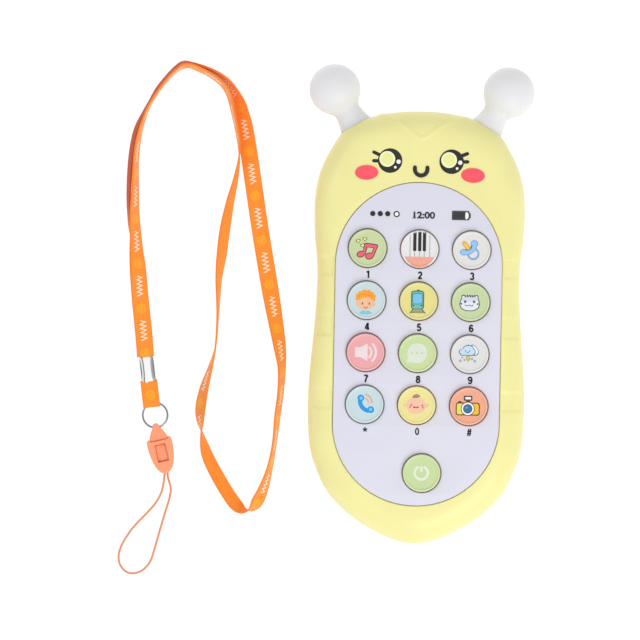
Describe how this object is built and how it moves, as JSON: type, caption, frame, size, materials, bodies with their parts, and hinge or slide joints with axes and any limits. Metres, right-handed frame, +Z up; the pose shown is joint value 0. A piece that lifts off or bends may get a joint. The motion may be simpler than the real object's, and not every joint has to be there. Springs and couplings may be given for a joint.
{
  "type": "toy cell phone",
  "caption": "Bee-shaped toy phone with round picture keys, soft ball-tipped antennae and a separate neck lanyard with a release buckle.",
  "frame": {"origin": "under the centre of the phone's bounding box, on the surface that it lies on, measured without the lanyard", "axes": "+Z up out of the keys, +Y from the tail towards the antennae, +X to the right as seen with the keys up"},
  "size_m": [0.1536, 0.1938, 0.03],
  "materials": {
    "yellow_shell": "satin moulded ABS",
    "panel": "satin moulded ABS",
    "key_green": "printed cap",
    "key_piano": "printed cap",
    "key_white": "printed cap",
    "key_blue": "printed cap",
    "key_yellow": "printed cap",
    "key_pink": "printed cap",
    "key_orange": "printed cap",
    "silicone": "matt",
    "board": "solder mask",
    "components": "matt",
    "steel": "zinc plated",
    "antenna": "milky translucent silicone",
    "led": "clear red",
    "wire": "PVC",
    "grey_plastic": "matt",
    "cell": "printed sleeve",
    "webbing": "woven polyester with a pale print",
    "chrome": "polished",
    "buckle": "satin acetal",
    "string": "braided cord"
  },
  "bodies": {
    "phone": {"front_shell": "yellow_shell", "rear_shell": "yellow_shell", "face_panel": "panel", "keypad_membrane": "silicone", "main_board": "board", "board_parts": "components", "board_screws": "steel", "case_screws": "steel", "antenna_left": "antenna", "antenna_right": "antenna", "led_left": "led", "led_right": "led", "led_wires": "wire", "speaker": "components", "speaker_clamp": "grey_plastic", "speaker_wires": "wire", "battery_cell_1": "cell", "battery_cell_2": "cell", "contact_springs": "steel", "contact_plates": "steel", "battery_wires": "wire"},
    "key_1_body": {"key_1": "key_green"},
    "key_2_body": {"key_2": "key_piano"},
    "key_3_body": {"key_3": "key_white"},
    "key_4_body": {"key_4": "key_blue"},
    "key_5_body": {"key_5": "key_yellow"},
    "key_6_body": {"key_6": "key_green"},
    "key_7_body": {"key_7": "key_pink"},
    "key_8_body": {"key_8": "key_green"},
    "key_9_body": {"key_9": "key_white"},
    "key_star_body": {"key_star": "key_blue"},
    "key_0_body": {"key_0": "key_yellow"},
    "key_hash_body": {"key_hash": "key_orange"},
    "power_key_body": {"power_key": "key_green"},
    "door": {"battery_door": "yellow_shell"},
    "door_screw_body": {"door_screw": "steel"},
    "lanyard": {"lanyard_strap": "webbing", "strap_crimp": "chrome", "strap_tail": "webbing", "split_ring": "chrome", "buckle_top": "buckle"},
    "buckle_lower": {"buckle_body": "buckle", "string_loop": "string"}
  },
  "joints": [
    {"name": "key_1_press", "type": "slide", "parent": "phone", "child": "key_1_body", "axis": [0, 0, -1], "range_m": [0, 0.0012], "stiffness_N_per_m": 400, "springref_m": -0.0005},
    {"name": "key_2_press", "type": "slide", "parent": "phone", "child": "key_2_body", "axis": [0, 0, -1], "range_m": [0, 0.0012], "stiffness_N_per_m": 400, "springref_m": -0.0005},
    {"name": "key_3_press", "type": "slide", "parent": "phone", "child": "key_3_body", "axis": [0, 0, -1], "range_m": [0, 0.0012], "stiffness_N_per_m": 400, "springref_m": -0.0005},
    {"name": "key_4_press", "type": "slide", "parent": "phone", "child": "key_4_body", "axis": [0, 0, -1], "range_m": [0, 0.0012], "stiffness_N_per_m": 400, "springref_m": -0.0005},
    {"name": "key_5_press", "type": "slide", "parent": "phone", "child": "key_5_body", "axis": [0, 0, -1], "range_m": [0, 0.0012], "stiffness_N_per_m": 400, "springref_m": -0.0005},
    {"name": "key_6_press", "type": "slide", "parent": "phone", "child": "key_6_body", "axis": [0, 0, -1], "range_m": [0, 0.0012], "stiffness_N_per_m": 400, "springref_m": -0.0005},
    {"name": "key_7_press", "type": "slide", "parent": "phone", "child": "key_7_body", "axis": [0, 0, -1], "range_m": [0, 0.0012], "stiffness_N_per_m": 400, "springref_m": -0.0005},
    {"name": "key_8_press", "type": "slide", "parent": "phone", "child": "key_8_body", "axis": [0, 0, -1], "range_m": [0, 0.0012], "stiffness_N_per_m": 400, "springref_m": -0.0005},
    {"name": "key_9_press", "type": "slide", "parent": "phone", "child": "key_9_body", "axis": [0, 0, -1], "range_m": [0, 0.0012], "stiffness_N_per_m": 400, "springref_m": -0.0005},
    {"name": "key_star_press", "type": "slide", "parent": "phone", "child": "key_star_body", "axis": [0, 0, -1], "range_m": [0, 0.0012], "stiffness_N_per_m": 400, "springref_m": -0.0005},
    {"name": "key_0_press", "type": "slide", "parent": "phone", "child": "key_0_body", "axis": [0, 0, -1], "range_m": [0, 0.0012], "stiffness_N_per_m": 400, "springref_m": -0.0005},
    {"name": "key_hash_press", "type": "slide", "parent": "phone", "child": "key_hash_body", "axis": [0, 0, -1], "range_m": [0, 0.0012], "stiffness_N_per_m": 400, "springref_m": -0.0005},
    {"name": "power_key_press", "type": "slide", "parent": "phone", "child": "power_key_body", "axis": [0, 0, -1], "range_m": [0, 0.0012], "stiffness_N_per_m": 400, "springref_m": -0.0005},
    {"name": "battery_door_hinge", "type": "hinge", "parent": "phone", "child": "door", "pos_m": [0, -0.0606, 0.0011], "axis": [-1, 0, 0], "range_deg": [0, 75]},
    {"name": "door_screw_turn", "type": "hinge", "parent": "door", "child": "door_screw_body", "pos_m": [0, -0.0036, 0.001], "axis": [0, 0, 1], "range_deg": [0, 1080]},
    {"name": "lanyard_lift", "type": "slide", "parent": "phone", "child": "lanyard", "axis": [0, 0, 1], "range_m": [0, 0.06]},
    {"name": "buckle_release", "type": "slide", "parent": "lanyard", "child": "buckle_lower", "axis": [0.2368, -0.9715, 0], "range_m": [0, 0.014]}
  ]
}
